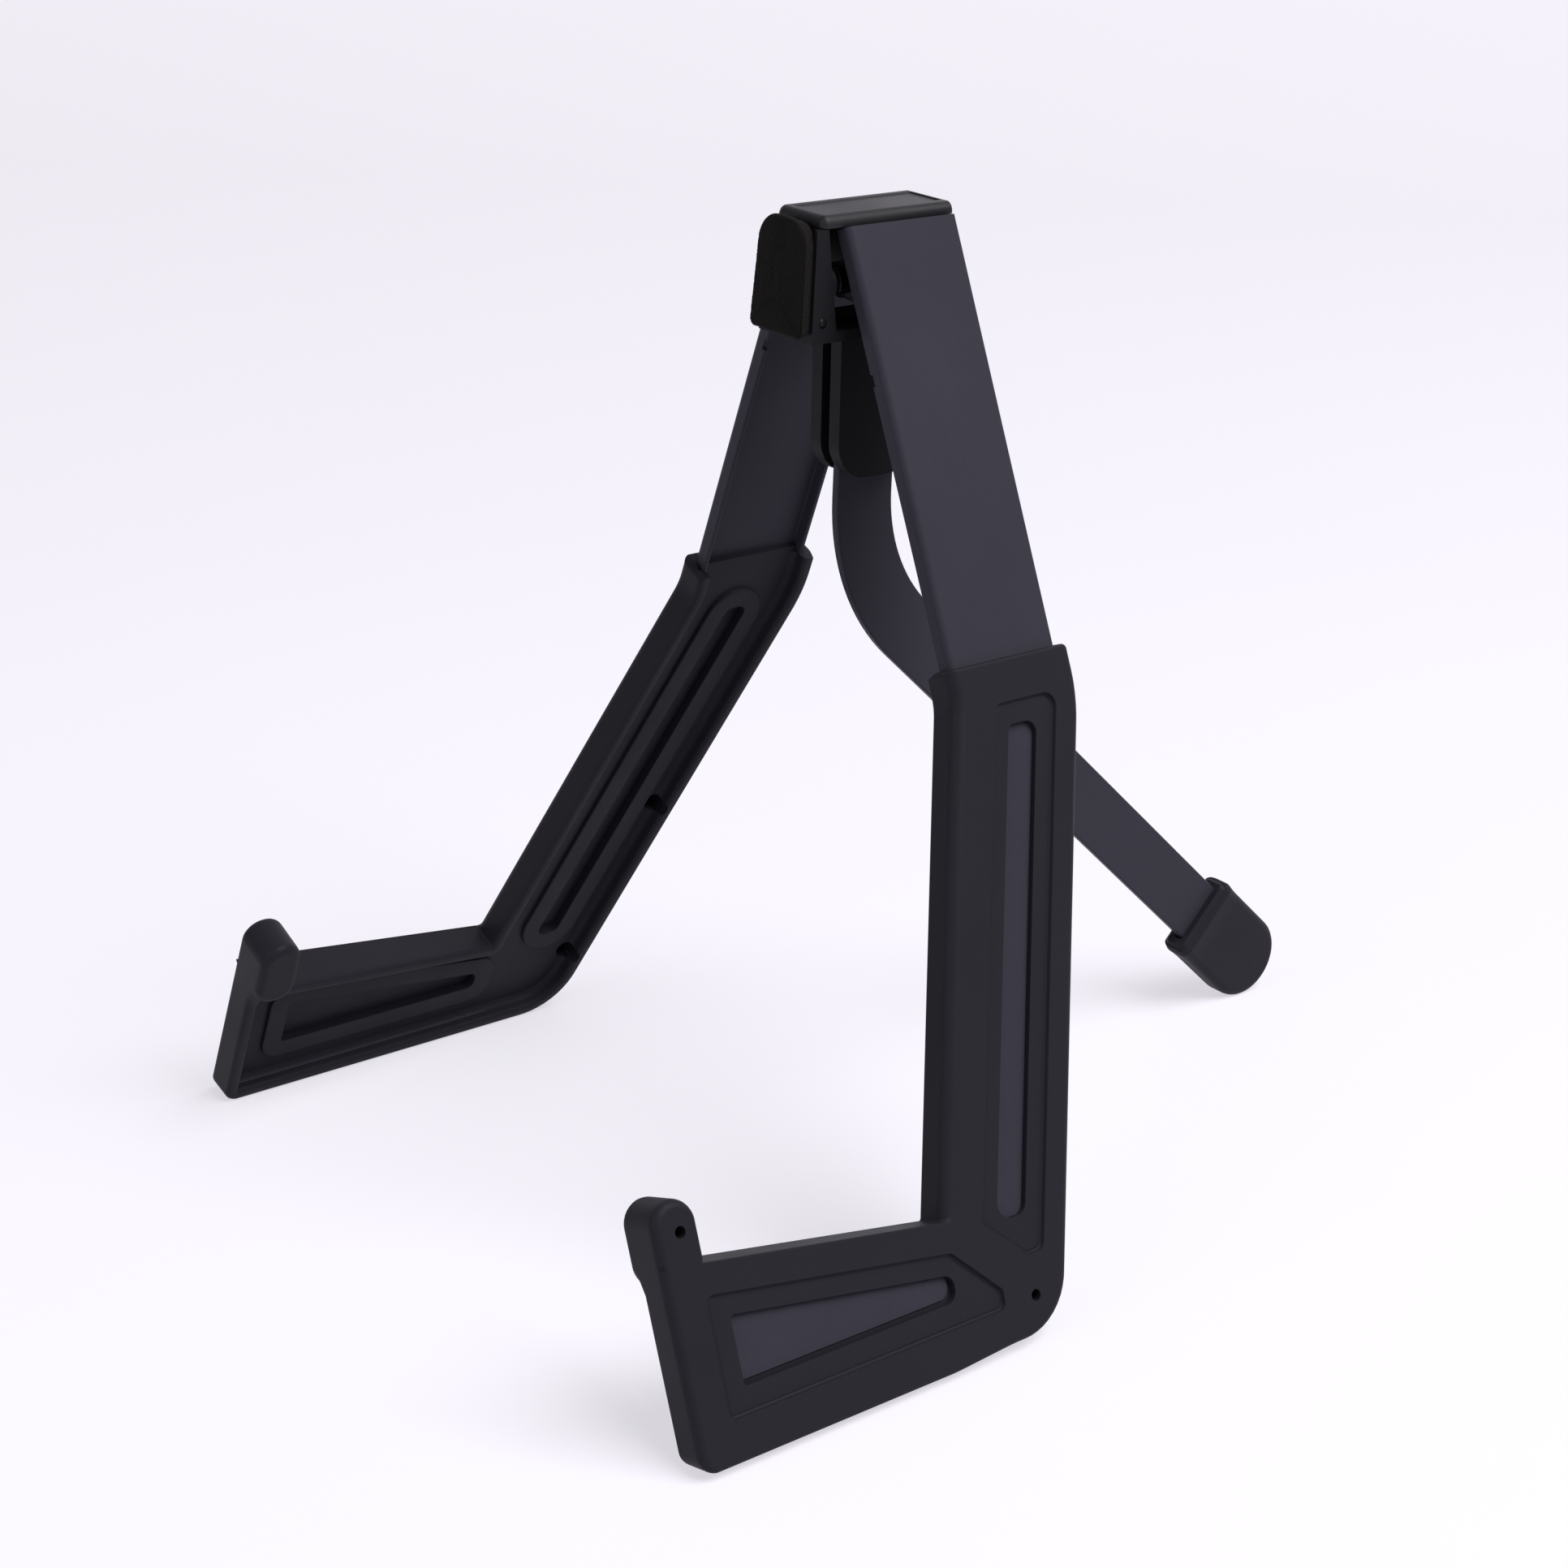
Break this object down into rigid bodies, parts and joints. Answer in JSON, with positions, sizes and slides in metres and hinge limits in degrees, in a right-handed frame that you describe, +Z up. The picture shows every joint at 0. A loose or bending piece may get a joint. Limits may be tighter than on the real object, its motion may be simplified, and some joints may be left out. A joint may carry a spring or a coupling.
{
  "type": "guitar stand",
  "caption": "Low folding guitar stand with sheet-metal front legs in rubber boots, hooked cradle feet, a foam-padded head and a bent rear leg.",
  "frame": {"origin": "on the floor under the middle of the stand's box, as it stands open", "axes": "+Z up, -Y towards the guitar (the side the cradle hooks point to), +X to the stand's right seen from behind the guitar side; the stand is the same on both sides of X = 0"},
  "size_m": [0.2684, 0.3524, 0.3],
  "materials": {
    "coated_metal": "satin grey-blue coating",
    "black_rubber": "matte",
    "black_plastic": "fine texture",
    "black_foam": "open-cell foam",
    "black_steel": "black oxide",
    "black_nylon": "smooth"
  },
  "bodies": {
    "head": {"head_cap": "black_plastic", "head_housing": "black_plastic", "pad_backing_plate": "black_steel", "foam_pad": "black_foam", "pad_cross_pin": "black_steel", "rear_yoke": "black_plastic", "yoke_screws": "black_steel", "rear_leg_pin": "black_steel", "right_hinge_pin": "black_steel", "left_hinge_pin": "black_steel", "right_hinge_spacers": "black_nylon", "left_hinge_spacers": "black_nylon"},
    "right_leg": {"right_leg_channel": "coated_metal", "right_leg_cover": "black_rubber", "right_hinge_bracket": "black_steel"},
    "left_leg": {"left_leg_channel": "coated_metal", "left_leg_cover": "black_rubber", "left_hinge_bracket": "black_steel"},
    "rear_leg": {"rear_leg_bar": "coated_metal", "rear_leg_sleeve": "black_nylon", "rear_foot_cap": "black_rubber"}
  },
  "joints": [
    {"name": "right_leg_fold", "type": "hinge", "parent": "head", "child": "right_leg", "pos_m": [0.0065, -0.02396, 0.28019], "axis": [0, 1, 0], "range_deg": [0, 22.1]},
    {"name": "left_leg_fold", "type": "hinge", "parent": "head", "child": "left_leg", "pos_m": [-0.0065, -0.02396, 0.28019], "axis": [0, -1, 0], "range_deg": [0, 22.1]},
    {"name": "rear_leg_fold", "type": "hinge", "parent": "head", "child": "rear_leg", "pos_m": [0, -0.02321, 0.25019], "axis": [-1, 0, 0], "range_deg": [0, 62]}
  ]
}
